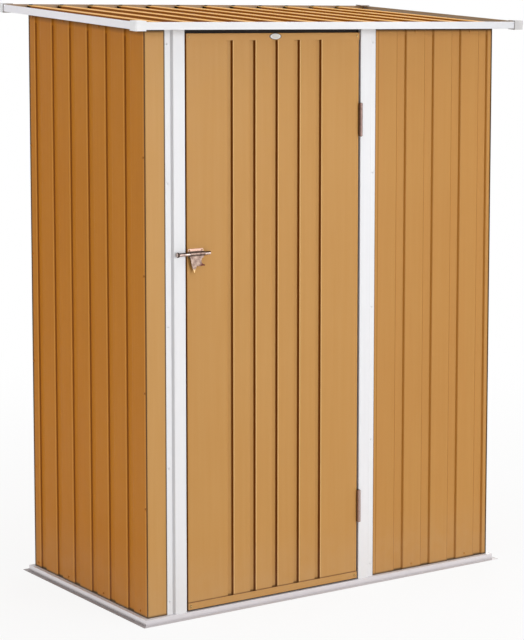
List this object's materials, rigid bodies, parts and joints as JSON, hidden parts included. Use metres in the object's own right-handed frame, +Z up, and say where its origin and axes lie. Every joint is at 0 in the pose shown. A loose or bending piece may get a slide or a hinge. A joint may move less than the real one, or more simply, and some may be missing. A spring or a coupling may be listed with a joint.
{
  "type": "metal tool shed",
  "caption": "Small garden tool shed of fluted tan steel sheet on a folded base rail, with white trim, a low pent roof and a hinged door with a sliding bolt.",
  "frame": {"origin": "middle of the base's footprint, on the ground", "axes": "+X to the right along the front, +Y from the front to the back, +Z up"},
  "size_m": [1.507, 0.889, 1.9081],
  "materials": {
    "tan_paint": "satin",
    "white_paint": "satin",
    "base_paint": "satin",
    "dark_primer": "satin",
    "cap_plastic": "matte",
    "hinge_steel": "satin",
    "zinc": "satin"
  },
  "bodies": {
    "shed": {"base_rail_front": "base_paint", "base_rail_back": "base_paint", "base_rail_left": "base_paint", "base_rail_right": "base_paint", "wall_left": "tan_paint", "wall_right": "tan_paint", "wall_back_left": "tan_paint", "wall_back_right": "tan_paint", "front_corner_panel": "tan_paint", "front_side_panel": "tan_paint", "door_post_left": "white_paint", "door_post_right": "white_paint", "top_rail_front": "dark_primer", "top_rail_back": "dark_primer", "top_rail_left": "dark_primer", "top_rail_right": "dark_primer", "roof_sheet_left": "tan_paint", "roof_sheet_right": "tan_paint", "roof_rail_front": "white_paint", "roof_rail_back": "white_paint", "roof_rail_left": "white_paint", "roof_rail_right": "white_paint", "roof_cap_front_left": "cap_plastic", "roof_cap_front_right": "cap_plastic", "roof_cap_back_left": "cap_plastic", "roof_cap_back_right": "cap_plastic", "upper_hinge_post_leaf": "hinge_steel", "lower_hinge_post_leaf": "hinge_steel"},
    "door": {"door_sheet": "tan_paint", "door_top_bar": "tan_paint", "door_bottom_bar": "tan_paint", "upper_hinge_door_leaf": "hinge_steel", "lower_hinge_door_leaf": "hinge_steel", "latch_plate": "zinc"},
    "bolt": {"latch_bolt": "zinc"}
  },
  "joints": [
    {"name": "door_hinge", "type": "hinge", "parent": "shed", "child": "door", "pos_m": [0.118, -0.3864, 0.9], "axis": [0, 0, 1], "range_deg": [0, 120]},
    {"name": "bolt_slide", "type": "slide", "parent": "door", "child": "bolt", "axis": [1, 0, 0], "range_m": [0, 0.037]}
  ]
}
